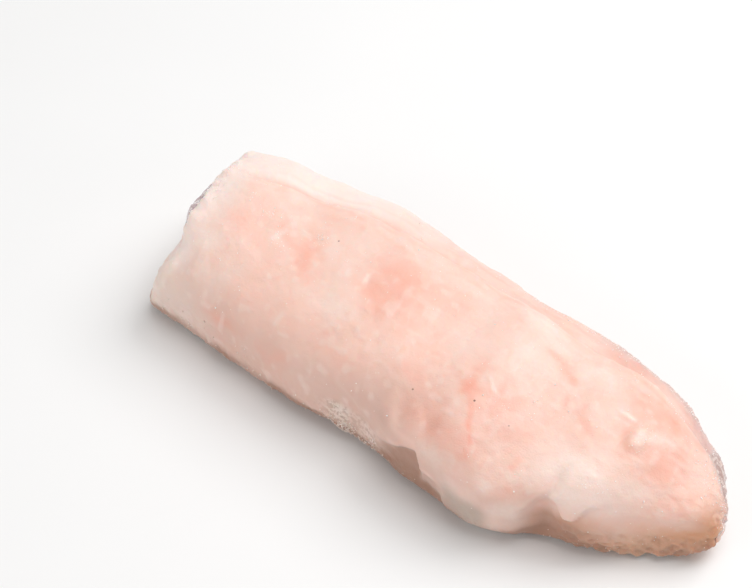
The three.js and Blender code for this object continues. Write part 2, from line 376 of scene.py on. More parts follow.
def grid_normals(points):
    """Cross product of the steps along the two parameters, made one long."""
    along = np.gradient(points, axis=0)
    around = (np.roll(points, -1, axis=1) - np.roll(points, 1, axis=1)) / 2
    normal = np.cross(around, along)
    return normal / np.maximum(np.linalg.norm(normal, axis=-1, keepdims=True), 1e-9)


normals = grid_normals(plain)
outward = np.sign((normals * (plain - plain.mean(axis=1, keepdims=True))).sum(axis=-1).mean())
normals = normals * outward
print("normals point outwards:", outward > 0)


# %% Creases beside the seam
CREASES = [
    # start, end, degrees from the seam, wave, depth in mm, half width in degrees
    (14, 60, 8, 1.5, 0.16, 1.3),
    (22, 84, -6, 1.0, 0.20, 1.2),
    (34, 120, 15, 2.0, 0.10, 1.2),
    (58, 150, 7, 1.2, 0.15, 1.3),
    (70, 135, -9, 1.6, 0.18, 1.0),
    (88, 165, 19, 2.4, 0.10, 1.2),
    (96, 168, -6, 1.4, 0.24, 1.4),
    (108, 172, -15, 1.8, 0.20, 1.6),
    (112, 172, 12, 1.8, 0.14, 1.2),
]


def crease_heights(x, deg):
    """Thin grooves that follow the seam at their own distance, waving a little and fading at the
    ends. Returns their depth as a positive number."""
    total = np.zeros_like(x)
    for start, end, offset, wave, deep, wide in CREASES:
        line = seam_turn(x) + offset + wave * np.sin(x / 6 + 3 * offset) + 0.6 * np.sin(x / 2.3 + offset)
        total += deep * bell(deg - line, wide) * between(x, start, end, 8)
    return total


RIDGES = [
    # from distance and turn, to distance and turn, half width in degrees, height in mm
    (151.6, 87.5, 155.8, 88.3, 1.1, 0.25),
    (161, 93, 168, 87, 2.6, 0.15),
    (118, 99, 121, 103, 1.3, 0.2),
]


def soft_lines(lines, x, deg):
    """Soft lines: a hill round the nearest point of a straight run in distance and turn, with
    the turn counted as 0.55 mm to the degree."""
    per_degree = 0.55
    total = np.zeros_like(x)
    for start, start_deg, end, end_deg, wide, strength in lines:
        run, turn_run = end - start, (end_deg - start_deg) * per_degree
        off, turn_off = x - start, (deg - start_deg) * per_degree
        share = np.clip((off * run + turn_off * turn_run) / (run ** 2 + turn_run ** 2), 0, 1)
        away = np.hypot(off - share * run, turn_off - share * turn_run)
        total = np.maximum(total, strength * bell(away, wide * per_degree))
    return total


def ridged(points, size, seed):
    """Sharp crests where the random function crosses zero: 1 less its size, to the power of 4."""
    return (1 - np.abs(lattice_noise(points, size, seed))) ** 4


creases = crease_heights(X, DEG) * (0.5 + 0.5 * lattice_noise(plain, 5, 14))
print("creases, mm deep:", creases.max().round(2))

# %% Masks for the cut face, the frost crust and the ragged places
Z = plain[..., 2]
FAR = np.where(DEG > 240, DEG - 360, DEG)  # the turn, running below 0 under the far side
above_floor = smooth(Z, 0.2, 2.0)      # 0 where the loin rests
off_base = 1 - smooth(DEG, 218, 238)   # 0 under the base
far_wall = smooth(FAR, -30, 0)         # 0 under the far side
on_cut = (1 - smooth(SCALE, 0.80, 0.95)) * (X < LENGTH / 2)
cut_rim = smooth(X, 0.1, 1.2) * (1 - smooth(X, 4, 8))
print("cut face, share of the points:", (on_cut > 0.5).mean().round(3))

# %% The crust, most of it at the near foot from 75 to 95 mm
crust_top = 181 - 3 * between(X, 76, 92, 5)  # the turn where it starts, a little higher in the middle
near_foot = smooth(DEG, crust_top - 3, crust_top + 3) * (1 - smooth(DEG, 214, 226))
far_foot = between(FAR, -22, 9, 8)
tip_foot = smooth(X, 150, 176) * (1 - smooth(Z, 1.5, 4.5))
tip_far = smooth(X, 160, 180) * (1 - smooth(FAR, 20, 45)) * far_wall
crust = near_foot * (0.1 + between(X, 75, 95, 4)) + 0.4 * far_foot + 0.2 * tip_foot + 0.3 * tip_far
patches = 0.35 + 0.65 * smooth(lattice_noise(plain, 6, 5), -0.5, 0.3)
crust = np.clip(crust, 0, 1) * (1 - on_cut) * patches

# %% Heights of the skin
def noise_sum(layers):
    """The random function added up over a list of sizes, seeds and heights, all but seeds in mm."""
    return sum(lattice_noise(plain, size, seed) * high for size, seed, high in layers)


KNOT = Group(at=160, long=2.2, turn=95, wide=4.5)
wrinkles = ridged(plain, 4.5, 12) * smooth(lattice_noise(plain, 11, 13), -0.3, 0.4)
chips = smooth(lattice_noise(plain, 2.6, 15), 0.25, 0.7)
soft = noise_sum([(9, 1, 0.30), (4.2, 2, 0.20)])
fine = noise_sum([(2.0, 3, 0.09), (1.0, 4, 0.05), (1.4, 11, 0.05)])
ridges = soft_lines(RIDGES, X, DEG)
knot = bell(X - KNOT.at, KNOT.long) * bell(DEG - KNOT.turn, KNOT.wide)
knot_height = knot * (0.4 + 0.5 * lattice_noise(plain, 1.2, 18))
skin = soft + fine + 0.10 * wrinkles + 0.10 * chips + ridges + knot_height - creases

# %% Heights of the crust and of the torn edges
crumbs = (
    lattice_noise(plain, 4.0, 6) * 0.35 + ridged(plain, 2.2, 7) * 0.45
    + lattice_noise(plain, 1.3, 8) * 0.3 - 0.1)
fringe = 1.5 * between(DEG, 178, 220, 7) * smooth(X, 146, 160)        # near foot of the tip
fringe += (1 - smooth(FAR, 10, 45)) * smooth(X, 120, 150) * far_wall  # far edge
fringe = np.maximum(fringe, smooth(X, 184.5, 186.5))                  # end of the tip
fringe += 0.5 * between(DEG, 181, 214, 5) * between(X, 5, 78, 4)      # near foot by the cut
tatters = noise_sum([(1.9, 61, 0.45), (1.1, 62, 0.45)])

# %% Heights of the cut face: blocks, faint rings of muscle and a ragged rim
blocks = lattice_noise(plain, 5.5, 19, stretch=(1, 1, 0.6)) * 0.45 + lattice_noise(plain, 1.8, 9) * 0.16
ragged = noise_sum([(3.2, 16, 0.7), (1.5, 17, 0.3)])
layer = (4.2 * SCALE + 0.35 * lattice_noise(plain, 7, 25) + 0.08 * np.sin(3 * TURN)) % 1
cut_lines = on_cut * bell(layer - 0.5, 0.13)
cut_lines = cut_lines * smooth(lattice_noise(plain, 5, 26), -0.6, 0.2) * smooth(SCALE, 0.3, 0.5)

# %% Add the fine heights
heights = (skin + crumbs * crust + tatters * fringe) * (1 - on_cut)
heights = heights + (blocks - 0.25 * cut_lines) * on_cut + ragged * cut_rim
heights *= above_floor
flesh_points = plain + normals * heights[..., None]
flesh_points[..., 2] = np.maximum(flesh_points[..., 2], 0)
print("fine relief, mm:", heights.min().round(2), "to", heights.max().round(2))


# %% Turn a grid of points into a closed mesh
def add_piece(name, vertices, faces, smooth_faces=True):
    """Makes a mesh object from arrays in mm, in the frame's own place."""
    mesh = bpy.data.meshes.new(name)
    mesh.from_pydata(vertices * MM, [], faces)
    mesh.polygons.foreach_set("use_smooth", np.full(len(mesh.polygons), smooth_faces))
    mesh.update()
    piece = bpy.data.objects.new(name, mesh)
    bpy.context.collection.objects.link(piece)
    return piece


def loin_mesh(name, grid):
    """The first and last rows shrink to one point each; every other row is joined to the next by
    four-sided faces, and the two ends are fans of triangles."""
    inner = grid[1:-1].reshape(-1, 3)
    vertices = np.concatenate([grid[:1, 0], inner, grid[-1:, 0]])
    count = ROWS - 1
    index = 1 + np.arange(count * COLUMNS).reshape(count, COLUMNS)
    right = np.roll(index, -1, axis=1)
    quads = np.stack([index[:-1], right[:-1], right[1:], index[1:]], axis=-1).reshape(-1, 4)
    first = np.stack([np.zeros(COLUMNS, int), right[0], index[0]], axis=-1)
    last = np.stack([np.full(COLUMNS, len(vertices) - 1), index[-1], right[-1]], axis=-1)
    faces = quads.tolist() + first.tolist() + last.tolist()
    return add_piece(name, vertices, faces)


def set_attribute(piece, name, values):
    """Stores a number for every vertex of the loin's grid, for its material to read."""
    flat = np.concatenate([values[:1, 0], values[1:-1].ravel(), values[-1:, 0]])
    attribute = piece.data.attributes.new(name, "FLOAT", "POINT")
    attribute.data.foreach_set("value", flat.astype(np.float32))


flesh = loin_mesh("flesh", flesh_points)
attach(flesh, "root")
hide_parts("loin")
print("flesh:", len(flesh.data.vertices), "vertices")


# %% [markdown]
# ## Where the colours change
#
# The flesh is cream, blushed with salmon-pink in blotches and short streaks where there was blood,
# and paler where the surface is scuffed or frosted. Painting an image would fix those places to a
# picture. Here each blotch is a soft hill in the same two parameters as the form, so the colour
# lies on the surface itself and is broken up by the same random function.

# %% Blotches, streaks and scuffs
BLUSH = [
    # distance from the cut end, turn, half length, half width in degrees, strength
    (21, 105, 5.5, 9, 0.75),
    (36, 104, 8, 8, 0.15),
    (48.5, 98.5, 4.5, 7, 0.6),
    (49.6, 101, 1.4, 2.5, 0.5),
    (79, 92, 11, 14, 0.6),
    (76, 92, 4, 7, 0.3),
    (100, 88, 9, 12, 0.2),
    (103, 105, 8, 8, 0.2),
    (115, 106, 3.2, 7, 0.8),
    (119, 110, 5, 10, 0.3),
    (126, 112, 10, 14, 0.4),
    (124, 102, 5, 8, 0.7),
    (98, 122, 6, 9, 0.35),
    (134.4, 133.5, 2.2, 4, 0.65),
    (136, 152, 4, 6, 0.3),
    (121, 160, 4, 8, 0.4),
    (121.5, 147, 3.5, 4, 0.4),
    (145, 44, 8, 7, 0.3),
    (154, 74, 5, 9, 0.55),
    (158, 97, 5, 11, 0.55),
    (163, 75, 9, 13, 0.8),
    (172, 100, 11, 22, 0.55),
    (112, 140, 13, 16, 0.45),
    (176, 128, 7, 12, 0.35),
    (173, 66, 4, 8, 0.45),
    (169, 46, 5, 8, 0.45),
    (180, 100, 6, 16, 0.45),
    (35, 168, 8, 9, 0.4),
    (56, 170, 6, 9, 0.3),
    (72, 140, 9, 10, 0.3),
]
STREAKS = [
    # from distance and turn, to distance and turn, half width in degrees, strength
    (116, 106, 119.9, 127, 2.4, 0.65),
    (119.9, 127, 122.8, 135, 1.7, 0.8),
    (122.8, 135, 123.4, 145, 2.0, 0.7),
    (126, 72, 136, 82, 2.4, 0.6),
    (136, 82, 138, 92, 1.6, 0.4),
    (143, 92, 148, 102, 2.2, 0.35),
    (104, 56, 128, 48, 2.2, 0.3),
    (138, 45, 152, 52, 3.2, 0.4),
    (152, 60, 172, 66, 2.5, 0.45),
    (36, 92, 50, 100, 2.6, 0.3),
    (28, 68, 50, 65, 1.2, 0.25),
    (50, 64, 66, 62, 1.0, 0.4),
]
SCUFFS = [
    # as in BLUSH
    (30, 78, 9, 4, 0.5),
    (37.6, 95, 1.6, 2.6, 1.0),
    (63.6, 93, 1.6, 2.4, 0.7),
    (71, 93, 1.4, 2.2, 0.9),
    (64, 114, 12, 6, 0.55),
    (40, 66, 3, 2.5, 0.6),
    (7, 85, 8, 26, 0.9),
    (18, 112, 10, 22, 0.5),
    (115, 158, 8, 12, 0.55),
    (119, 62, 9, 7, 0.7),
    (117, 95, 4, 5, 0.5),
    (106, 76, 6, 8, 0.45),
    (104, 42, 10, 12, 0.35),
    (93, 30, 9, 10, 0.35),
    (133, 46, 6, 6, 0.4),
    (131, 154, 4, 7, 0.7),
    (14, 125, 7, 13, 0.9),
    (52, 62, 7, 6, 0.6),
    (21, 139, 7, 9, 0.5),
    (129, 66, 8, 7, 0.6),
    (141, 72, 8, 8, 0.8),
    (122, 84, 10, 9, 0.5),
    (150, 130, 12, 16, 0.9),
    (153, 150, 7, 14, 0.9),
    (165, 122, 9, 11, 0.6),
    (155, 112, 7, 8, 0.45),
    (160, 94, 2.4, 5, 1.0),
    (153.8, 88, 2.4, 1.2, 0.8),
    (140, 139, 4, 10, 0.5),
    (62, 82, 12, 12, 0.4),
    (22, 80, 10, 6, 0.5),
    (80, 66, 12, 8, 0.4),
    (54, 90, 5, 7, 0.5),
    (106, 92, 9, 9, 0.4),
    (120, 160, 6, 8, 0.5),
    (178, 88, 6, 12, 0.45),
    (73, 70, 8, 4, 0.6),
    (98, 66, 9, 6, 0.5),
    (138, 172, 5, 14, 0.7),
    (123, 168, 7, 9, 0.55),
]


def hills(spots, x, deg):
    """The largest of a list of soft hills at every point."""
    total = np.zeros_like(x)
    for at, turn, long, wide, strength in spots:
        total = np.maximum(total, strength * bell(x - at, long) * bell(deg - turn, wide))
    return total


# %% Muscle bands that show through on the near side
# The lean is in mm per degree of turn.
BANDS = Group(spacing=10.5, lean=0.25, at=98.4, turn=146, clearest=104)
ISLANDS = [
    # darker flesh between the bands, as in BLUSH
    (103.3, 141, 2.0, 8, 1.0),
    (111.8, 139, 1.6, 6, 0.9),
    (96.0, 160, 3.0, 5, 0.6),
]


def flake_bands(x, deg):
    """Pale lines where one muscle flake ends over the next, evenly spaced and leaning with the turn,
    and an arc at 157 degrees that joins the clearest of them below."""
    place = (x - BANDS.lean * (deg - BANDS.turn) - BANDS.at) / BANDS.spacing
    line = bell((place + 0.5) % 1 - 0.5, 0.2) * between(deg, 131, 157, 5)
    clear = 0.25 * between(x, 40, 122, 12) + 0.75 * bell(x - BANDS.clearest, 10)
    arc = 0.8 * bell(deg - 157, 3.2) * between(x, 99, 109, 1.5)
    return np.maximum(line * clear, arc)


# %% [markdown]
# ## From spots to fields
#
# A field is a number from 0 to 1 for every point of the flesh, and says how far one colour shows
# there. The fields follow the forms, as the real colours and the shade do: flesh that dried is
# whitened, with the light on the far roll painted in; the wall below is duller, with its shade
# painted in; and brown shade is painted along the foot, in the recess and in the notch. A border
# that keeps to its formula looks drawn, so distance and turn are first shifted a little by the
# random function.

# %% Shifts that make the borders of the colours irregular
drift = noise_sum([(7, 21, 1.8), (2.6, 22, 1.4)])
drift_deg = noise_sum([(8, 23, 4.0), (2.4, 24, 3.0)])
print("borders move by up to", np.abs(drift).max().round(1), "mm")

# %% Blush, scuffs and the ring round the knot
red = hills(BLUSH, X + drift, DEG + drift_deg)
red = np.maximum(red, soft_lines(STREAKS, X + drift * 0.3, DEG + drift_deg * 0.3))
islands = hills(ISLANDS, X + 0.3 * drift, DEG + 0.3 * drift_deg)
pale = np.maximum(hills(SCUFFS, X + drift, DEG + drift_deg), np.clip(ridges / 0.25, 0, 1))
pale = np.maximum(pale, 0.8 * knot)
pale = np.maximum(pale, 0.4 * wrinkles * smooth(X, 60, 120) * (1 - smooth(DEG, 120, 150)))
pale = np.maximum(pale, 0.35 * chips)
pale *= 1 - 0.8 * islands
from_knot = np.hypot((X - 160.5) / 1.25, (DEG - KNOT.turn) * 0.5)
ring = bell(from_knot - 2.8, 1.3) * smooth(DEG, 88, 96) * smooth(163 - X, -1, 4)
seam_line = bell(DEG - seam_turn(X), 1.8) * between(X, 24, 172, 8)

# %% Whitened flesh beyond the seam and at the cut's rim, with painted light on the far roll and the lobe, and the greyish far edge
WHITENED_AND_HIGHLIT = [
    # two spots more, as in BLUSH; the one at 158 mm is light painted on the lobe
    (118, 56, 9, 8, 0.35),
    (158, 144, 11, 16, 0.5),
]
past_seam = smooth(seam_turn(X) - DEG, -1.5, 3.5)
rim_white = 0.75 * bell(X - 4, 8) * between(DEG, 72, 150, 10)
whitened_and_highlit = past_seam * (1 - 0.6 * smooth(X, 50, 76)) * (1 - smooth(X, 72, 108))
whitened_and_highlit = np.maximum(np.maximum(whitened_and_highlit, rim_white), hills(WHITENED_AND_HIGHLIT, X, DEG))
spread = 14 * smooth(X, 160, 174)      # degrees that the grey reaches further up at the tip
far_edge = smooth(X, 120, 150) * (1 - smooth(FAR, 28 + spread, 58 + spread)) * smooth(FAR, -30, 25)
far_edge += 0.4 * smooth(X, 182, 187)
far_edge += 0.3 * between(X, 68, 125, 12) * (1 - smooth(FAR, 28, 56)) * far_wall
far_edge += 0.5 * bell(X - 177, 5) * bell(DEG - 44, 16)

# %% The duller lower wall of the near side, with its shade painted in, which starts higher up in the middle
middle = between(X, 92, 116, 8)
shaded_low_side = smooth(DEG, 128 - 14 * middle, 168 - 30 * middle) * (0.75 + 0.25 * smooth(X, 70, 95))
shaded_low_side = np.minimum(1, shaded_low_side + 0.45 * bell(X - 101, 7) * bell(DEG - 128, 14))
shaded_low_side *= (
    (1 - 0.35 * smooth(X, 119, 127)) * (1 - 0.9 * smooth(X, 139, 147)) * (1 - 0.7 * smooth(DEG, 235, 300)))

# %% The flap, and painted shade in the recess under the shelf and in the notch
flap = smooth(DEG + 0.6 * drift_deg, 166, 180) * between(X + drift, 119, 140, 4) * off_base
shaded_recess = smooth(DEG + 0.5 * drift_deg - shelf_edge(X + 0.4 * drift), -3, 6)
shaded_recess = shaded_recess * smooth(X, 90, 97) * (1 - smooth(X, 121, 125)) * (1 - 0.25 * smooth(Z, 8, 16)) * off_base
# Painted shade in the notch, the gap between the shelf and the last lobe.
past_gap = smooth(DEG - lobe_edge(X), -2, 3) * smooth(X - gap_at(DEG), -0.5, 3) * (1 - smooth(X, 150, 170))
under_tooth = smooth(X, 149, 153)
notch = past_gap * smooth(DEG, 166 - 8 * under_tooth, 189 - 15 * under_tooth) * off_base

# %% Brown shade painted along the foot: a band along the near side and a deeper one under the lobe
foot = smooth(DEG, 176, 190) * smooth(X, 104, 114) * (1 - smooth(X, 146, 156))  # past the crust
foot = foot + (0.6 + 0.3 * (1 - smooth(X, 8, 26))) * smooth(DEG, 183, 194)      # all along
foot = foot + 0.7 * smooth(DEG, 185, 193) * between(X, 54, 78, 4)               # before the crust
foot = foot + 0.5 * smooth(DEG, 189, 197) * between(X, 78, 98, 4)               # below the crust
# The next line paints the shade deeper at two places along the foot.
foot += 0.55 * smooth(DEG, 181, 187) * (bell(X - 35, 4) + bell(X - 61, 5))      # two torn places
past_flap = smooth(DEG, 166, 198) * smooth(X, 140, 146) * (1 - 0.4 * bell(X - 170, 7))
foot = np.maximum(foot, past_flap) * (1 - 0.9 * bell(X - 132, 7))               # not on the flap
foot += 0.55 * bell(X - 153, 8) * smooth(DEG, 174, 185)                         # under the lobe
# Painted shade where the wall comes down to the floor.
near_floor = 0.4 * (1 - smooth(Z, 0.5, 6))
foot = np.maximum(foot * off_base * (1 - on_cut), near_floor)

# %% The warmer wall of the tip, darker towards its base where its shade is painted in, and its amber end
shaded_tip_wall = (1 - smooth(Z, 3, 17)) * smooth(X, 150, 158) * between(DEG, 100, 255, 30)
amber = bell(X - 187, 5) * bell(DEG - 136, 56) + 0.9 * bell(X - 180, 9) * bell(DEG - 172, 15)

# %% Store the fields on the flesh
fields = {
    "blush": red,
    "pale": pale,
    "whitened_and_highlit": whitened_and_highlit,
    "far_edge": far_edge,
    "ring": ring,
    "grey_end": shaded_low_side * (1 - smooth(X, 10, 40)) + 0.8 * cut_rim,
    "shaded_low_side": shaded_low_side * (1 - flap),
    "bands": flake_bands(X + 0.4 * drift, DEG + 0.5 * drift_deg),
    "islands": islands,
    "flap": flap * (1 - 0.9 * smooth(X, 131, 136)),
    "shaded_recess": shaded_recess * (1 - flap),
    "notch": notch * (1 - flap),
    "foot": foot,
    "shaded_tip_wall": shaded_tip_wall,
    "cut": on_cut,
    "cut_lines": cut_lines,
    "crust": crust,
    "crease": np.clip(creases / 0.3, 0, 1) + 0.12 * seam_line,
    "amber": amber,
}
for field, values in fields.items():
    set_attribute(flesh, field, np.clip(values, 0, 1))
    print(field, "covers", (values > 0.3).mean().round(3))


# %% [markdown]
# ## Materials as sums
#
# A material is a net of nodes. Written out link by link it is hard to read, so one small class
# stands for a number that flows through the net: adding or multiplying two of them adds a Math
# node. Every other node comes from one method, which takes its type, its settings and the values
# or links of its sockets.

# %% The classes that build materials
class Amount:
    """A number that flows through a material."""

    def __init__(self, finish, socket):
        self.finish, self.socket = finish, socket

    def maths(self, operation, *values, **settings):
        """A Math node over any numbers or amounts."""
        settings = {"operation": operation, **settings}
        return self.finish.node("ShaderNodeMath", settings, dict(enumerate(values)))

    def __add__(self, other):
        return self.maths("ADD", self, other)

    def __sub__(self, other):
        return self.maths("SUBTRACT", self, other)

    def __rsub__(self, other):
        return self.maths("SUBTRACT", other, self)

    def __mul__(self, other):
        return self.maths("MULTIPLY", self, other)

    __radd__ = __add__
    __rmul__ = __mul__

    def size(self):
        """The number without its sign."""
        return self.maths("ABSOLUTE", self)

    def held(self):
        """The same number, kept between 0 and 1."""
        return self.maths("ADD", self, 0.0, use_clamp=True)

    def rise(self, low, high):
        """0 below low, 1 above high, smooth between."""
        return self.finish.node(
            "ShaderNodeMapRange", {"interpolation_type": "SMOOTHSTEP"},
            {"Value": self, "From Min": low, "From Max": high})


class Finish:
    """A material under construction."""

    def __init__(self, name):
        self.material = bpy.data.materials.new(name)
        self.material.use_nodes = True
        self.tree = self.material.node_tree
        self.tree.nodes.clear()

    def node(self, kind, settings, sockets, output=0):
        """Adds a node of any type: settings first, then each socket's value or link."""
        node = self.tree.nodes.new(kind)
        for name, value in settings.items():
            setattr(node, name, value)
        for name, value in sockets.items():
            if isinstance(value, Amount):
                self.tree.links.new(value.socket, node.inputs[name])
            else:
                node.inputs[name].default_value = value
        return Amount(self, node.outputs[output])

    def field(self, name):
        """A number stored on the mesh's vertices."""
        return self.node("ShaderNodeAttribute", {"attribute_name": name}, {}, output="Fac")

    def place(self):
        """The point on the piece, in metres from the frame's origin."""
        return self.node("ShaderNodeTexCoord", {}, {}, output="Object")

    def noise(self, size_mm, detail=2.0, roughness=0.5, shift=0.0):
        """Cloudy noise with bumps of about that size. A shift in metres gives another pattern."""
        where = self.node(
            "ShaderNodeMapping", {}, {"Vector": self.place(), "Location": (shift, shift, shift)})
        return self.node("ShaderNodeTexNoise", {}, {
            "Vector": where, "Scale": 1 / (size_mm * MM), "Detail": detail, "Roughness": roughness})

    def near(self, point, radius):
        """1 within about half the radius of a point, 0 beyond the radius. Both are in mm."""
        away = self.node(
            "ShaderNodeVectorMath", {"operation": "DISTANCE"},
            {0: self.place(), 1: tuple(point * MM)}, output="Value")
        return 1 - away.rise(0.4 * radius * MM, radius * MM)

    def mixed(self, factor, first, second):
        """A colour that goes from first to second as factor goes from 0 to 1."""
        return self.node("ShaderNodeMix", {"data_type": "RGBA"}, {0: factor, 6: first, 7: second}, output=2)

    def surface(self, shader):
        """Ends the net in the material's output."""
        out = self.tree.nodes.new("ShaderNodeOutputMaterial")
        self.tree.links.new(shader.socket, out.inputs["Surface"])
        return self.material


# %% [markdown]
# ## The flesh's finish
#
# Raw white fish lets light in a few millimetres and hands it back softened and pinker, which is
# why its shadows are never grey. Subsurface scattering in the Principled shader does that. The
# colour is a chain of mixes, from the ground colour up, each as strong as its field on the mesh. A
# thin wet film on top is the coat.

# %% Colours of the flesh
# Linear red, green and blue, and alpha.
CREAM = (0.86, 0.575, 0.485, 1)
PALE = (0.88, 0.715, 0.645, 1)
SALMON = (0.87, 0.375, 0.275, 1)
# The next colour is the duller lower wall with its shade painted in; the rings on the cut face take it too.
LOW_SIDE = (0.70, 0.47, 0.395, 1)
# The next colour is dried flesh, and also painted light on the far roll and the lobe.
WHITE = (0.91, 0.765, 0.71, 1)
FAR_GREY = (0.54, 0.37, 0.35, 1)
CUT_COLOUR = (0.87, 0.71, 0.65, 1)
CRUST = (0.87, 0.76, 0.69, 1)
CRUST_DARK = (0.50, 0.36, 0.29, 1)
# The brown below is painted shade along the foot, under the lobe and near the floor.
FOOT_SHADE = (0.37, 0.205, 0.145, 1)
SPECK = (0.10, 0.04, 0.03, 1)
LOW_LAYERS = [
    # field, strength, colour
    ("shaded_low_side", 0.85, LOW_SIDE),
    ("grey_end", 0.7, (0.82, 0.72, 0.65, 1)),
    ("bands", 0.8, (0.84, 0.60, 0.51, 1)),
    ("islands", 0.45, (0.52, 0.32, 0.26, 1)),
]
TOP_LAYERS = [
    ("ring", 0.2, (0.80, 0.42, 0.27, 1)),
    ("crease", 0.35, SALMON),
    # The tip's wall: a warmer tone, with shade painted in towards its base.
    ("shaded_tip_wall", 0.8, (0.84, 0.48, 0.29, 1)),
    ("flap", 0.85, (0.49, 0.40, 0.34, 1)),
    # The next two are painted shade: the recess under the shelf and the notch beside the lobe.
    ("shaded_recess", 0.92, (0.345, 0.18, 0.12, 1)),
    ("notch", 0.8, (0.64, 0.34, 0.225, 1)),
    ("amber", 0.85, (0.66, 0.33, 0.185, 1)),
]
SPECKS = [
    # distance from the cut end, turn, radius in mm, strength
    (118.0, 113, 0.42, 0.8),
    (100.8, 127, 0.4, 0.6),
    (54.2, 87, 0.4, 0.6),
    (129.0, 112, 0.35, 0.4),
]


# %% The chain of colours
def layered(finish, colour, layers):
    """Mixes each layer's colour over what lies below it, as far as its field and strength say."""
    for field, strength, tint in layers:
        colour = finish.mixed(finish.field(field) * strength, colour, tint)
    return colour


def skin_colour(finish, noise):
    """Mottled cream, the wall with its painted shade and its bands, then blood, scuffs, veins, the paler
    dried flesh with the painted light of the far roll, the greyish flesh, and the layers of the forms
    on top, among them painted shade under the shelf, in the notch and low on the tip's wall."""
    colour = finish.mixed(noise.clouds.rise(0.4, 0.75) * 0.4, CREAM, PALE)
    colour = finish.mixed(noise.mottle.rise(0.5, 0.75) * 0.14, colour, SALMON)
    colour = layered(finish, colour, LOW_LAYERS)
    colour = finish.mixed((finish.field("blush") * (0.55 + 0.7 * noise.mottle)).held(), colour, SALMON)
    colour = finish.mixed((finish.field("pale") * (0.55 + 0.8 * noise.dust)).held(), colour, PALE)
    colour = finish.mixed(noise.veins * 0.15, colour, PALE)
    colour = finish.mixed((finish.field("whitened_and_highlit") * 0.9).held(), colour, WHITE)
    colour = finish.mixed(finish.field("far_edge") * (0.4 + 0.7 * noise.dust), colour, FAR_GREY)
    return layered(finish, colour, TOP_LAYERS)


def edge_colour(finish, noise, colour):
    """The cut face with its rings of muscle, the flaky crust and the brown shade painted low on the near
    wall, over the skin.
    """
    face = finish.mixed(noise.clouds.rise(0.45, 0.6) * 0.5, CUT_COLOUR, CREAM)
    flaky = finish.mixed(finish.noise(1.5, 4, 0.7, shift=3).rise(0.42, 0.56), CRUST_DARK, CRUST)
    colour = finish.mixed(finish.field("cut") * 0.8, colour, face)
    colour = finish.mixed(finish.field("cut_lines") * 0.3, colour, LOW_SIDE)
    colour = finish.mixed((finish.field("crust") * (0.4 + 0.9 * noise.dust)).held(), colour, flaky)
    return finish.mixed(finish.field("foot") * 0.85, colour, FOOT_SHADE)


# %% Flesh
def point_on_flesh(distance, turn):
    """The flesh's own grid point that is nearest to a distance and a turn."""
    row = np.abs(row_x - distance).argmin()
    column = np.abs(turns - np.radians(turn)).argmin()
    return flesh_points[row, column]


def flesh_finish():
    """The colours, a few dark specks, and bumps that are stronger in the crust."""
    finish = Finish("hoki_flesh")
    lines = (1 - 20 * (finish.noise(11, 1, shift=1) - 0.5).size()).held()
    noise = Group(
        clouds=finish.noise(14, 3), mottle=finish.noise(4.5, 4, 0.6), dust=finish.noise(0.9, 2),
        veins=lines * finish.noise(12, 1, shift=2).rise(0.45, 0.6))
    colour = edge_colour(finish, noise, skin_colour(finish, noise))
    for distance, turn, radius, strength in SPECKS:
        colour = finish.mixed(finish.near(point_on_flesh(distance, turn), radius) * strength, colour, SPECK)
    pores = finish.noise(1.1, 3, 0.6) * 0.5 + finish.noise(0.45, 2) * 0.5
    bumps = pores * (1 + 1.5 * finish.field("crust")) + noise.veins * 0.2
    normal = finish.node("ShaderNodeBump", {}, {"Strength": 0.6, "Distance": 0.3 * MM, "Height": bumps})
    rough = 0.40 + 0.14 * noise.mottle + 0.3 * finish.field("crust")
    shader = finish.node("ShaderNodeBsdfPrincipled", {}, {
        "Base Color": colour, "Roughness": rough, "Normal": normal,
        "Subsurface Weight": 0.55, "Subsurface Radius": (1.0, 0.42, 0.28), "Subsurface Scale": 3.0 * MM,
        "IOR": 1.36, "Coat Weight": 0.12, "Coat Roughness": 0.3})
    return finish.surface(shader)


flesh.data.materials.append(flesh_finish())
print("flesh finish:", len(flesh.data.materials[0].node_tree.nodes), "nodes")


# %% [markdown]
# ## Frost
#
# Frozen fish is dusted with ice crystals: single grains that catch the light, thicker at the edges.
# A particle system would scatter them, but it can't be written out as a mesh. Instead each grain is
# a stretched octahedron of eight faces, and all of them are joined in one mesh from arrays.

# %% Scatter frost grains over the flesh
def scattered(density, count, rng):
    """Draws grid places with a chance that goes with density times area, and moves each a random
    part of the way to its neighbours. Returns points and normals in mm."""
    along = np.linalg.norm(np.diff(flesh_points, axis=0), axis=-1)
    around = np.linalg.norm(np.roll(flesh_points, -1, axis=1) - flesh_points, axis=-1)[:-1]
    chance = (density[:-1] * along * around).ravel()
    pick = rng.choice(chance.size, count, p=chance / chance.sum())
    row, column = np.unravel_index(pick, along.shape)
    right = (column + 1) % COLUMNS
    step_along, step_around = rng.random((2, count, 1))
    here = flesh_points[row, column]
    points = here + step_along * (flesh_points[row + 1, column] - here)
    points = points + step_around * (flesh_points[row, right] - here)
    return points, normals[row, column]


def random_turns(count, rng):
    """Random rotations: two random directions made square to each other, and their cross product."""
    first = rng.normal(size=(count, 3))
    second = rng.normal(size=(count, 3))
    first /= np.linalg.norm(first, axis=1, keepdims=True)
    second -= (first * second).sum(axis=1, keepdims=True) * first
    second /= np.linalg.norm(second, axis=1, keepdims=True)
    return np.stack([first, second, np.cross(first, second)], axis=1)

CORNERS = np.array([(1, 0, 0), (-1, 0, 0), (0, 1, 0), (0, -1, 0), (0, 0, 1), (0, 0, -1)], float)
SIDES = np.array([(0, 2, 4), (2, 1, 4), (1, 3, 4), (3, 0, 4), (2, 0, 5), (1, 2, 5), (3, 1, 5), (0, 3, 5)])


